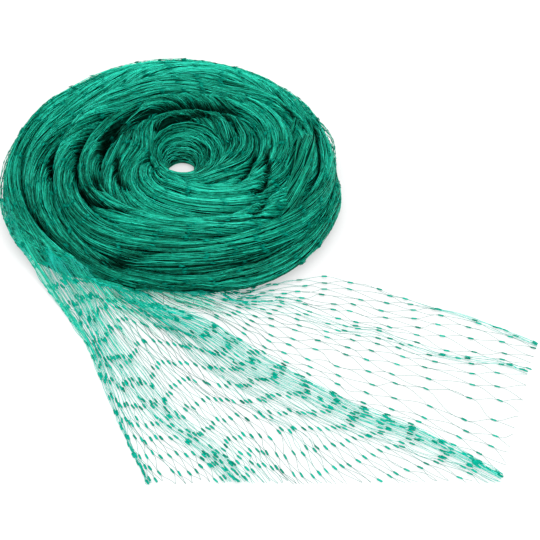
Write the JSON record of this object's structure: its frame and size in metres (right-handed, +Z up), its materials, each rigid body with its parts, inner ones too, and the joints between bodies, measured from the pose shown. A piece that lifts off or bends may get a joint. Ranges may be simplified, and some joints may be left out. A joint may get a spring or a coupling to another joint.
{
  "type": "bird netting roll",
  "caption": "Roll of green plastic bird netting, a loose rope of diamond mesh wound flat round an open hole with its outer end spread out.",
  "frame": {"origin": "middle of the whole footprint, on the surface that the netting lies on", "axes": "+Z up out of the coil's hole, -Y towards the spread end, +X to the right as seen from the spread end"},
  "size_m": [0.4096, 0.4013, 0.0488],
  "materials": {
    "netting_wound": "satin",
    "netting_spread": "satin"
  },
  "bodies": {
    "root": {"netting_coil": "netting_wound", "loose_end": "netting_spread"}
  },
  "joints": []
}
